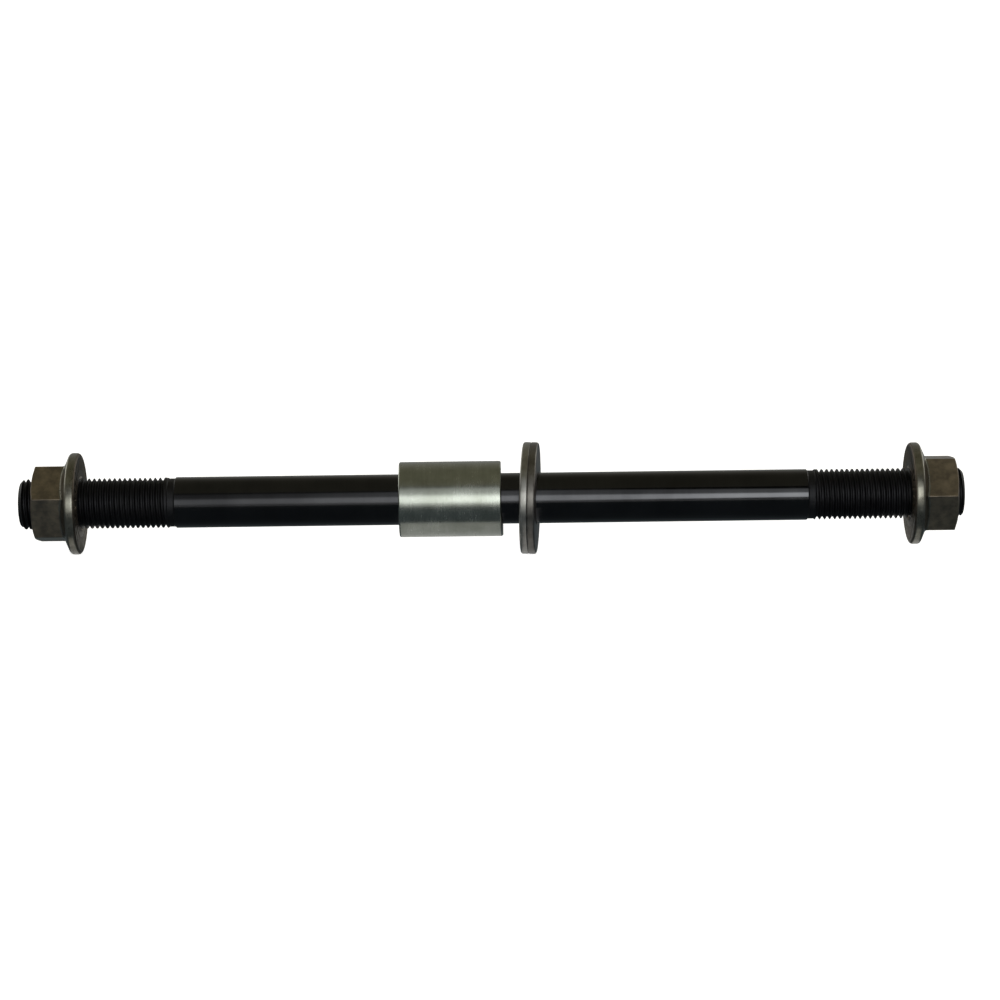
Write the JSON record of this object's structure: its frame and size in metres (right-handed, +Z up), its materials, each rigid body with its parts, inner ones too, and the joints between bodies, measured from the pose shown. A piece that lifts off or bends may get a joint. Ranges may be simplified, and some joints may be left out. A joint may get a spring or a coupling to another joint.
{
  "type": "bicycle hub axle",
  "caption": "Solid threaded wheel axle with a plain shank, a loose spacer sleeve, loose washers and flanged hexagon nuts that clamp a frame's dropouts.",
  "frame": {"origin": "middle of the axle's length, on its centre line", "axes": "+X along the axle towards the end whose nut stands nearer its tip, +Z up as it lies, -Y towards the viewer"},
  "size_m": [0.185, 0.0222, 0.022],
  "materials": {
    "axle_steel": "ground bar, black oxide",
    "zinc_plate": "turned and zinc plated",
    "washer_steel": "stamped sheet, dulled zinc plate",
    "nut_steel": "cold formed, dull olive chromate"
  },
  "bodies": {
    "axle": {"axle": "axle_steel"},
    "sleeve": {"spacer_sleeve": "zinc_plate"},
    "left_washer": {"left_washer": "washer_steel"},
    "right_washer": {"right_washer": "washer_steel"},
    "left_nut": {"left_nut": "nut_steel"},
    "right_nut": {"right_nut": "nut_steel"}
  },
  "joints": [
    {"name": "sleeve_slide", "type": "slide", "parent": "axle", "child": "sleeve", "axis": [1, 0, 0], "range_m": [-0.045, 0.0016]},
    {"name": "left_washer_slide", "type": "slide", "parent": "axle", "child": "left_washer", "axis": [1, 0, 0], "range_m": [-0.0016, 0.04]},
    {"name": "right_washer_slide", "type": "slide", "parent": "left_washer", "child": "right_washer", "axis": [1, 0, 0], "range_m": [0, 0.014]},
    {"name": "left_nut_travel", "type": "slide", "parent": "axle", "child": "left_nut", "axis": [1, 0, 0], "range_m": [-0.012, 0.017]},
    {"name": "right_nut_travel", "type": "slide", "parent": "axle", "child": "right_nut", "axis": [1, 0, 0], "range_m": [-0.018, 0.011]}
  ]
}
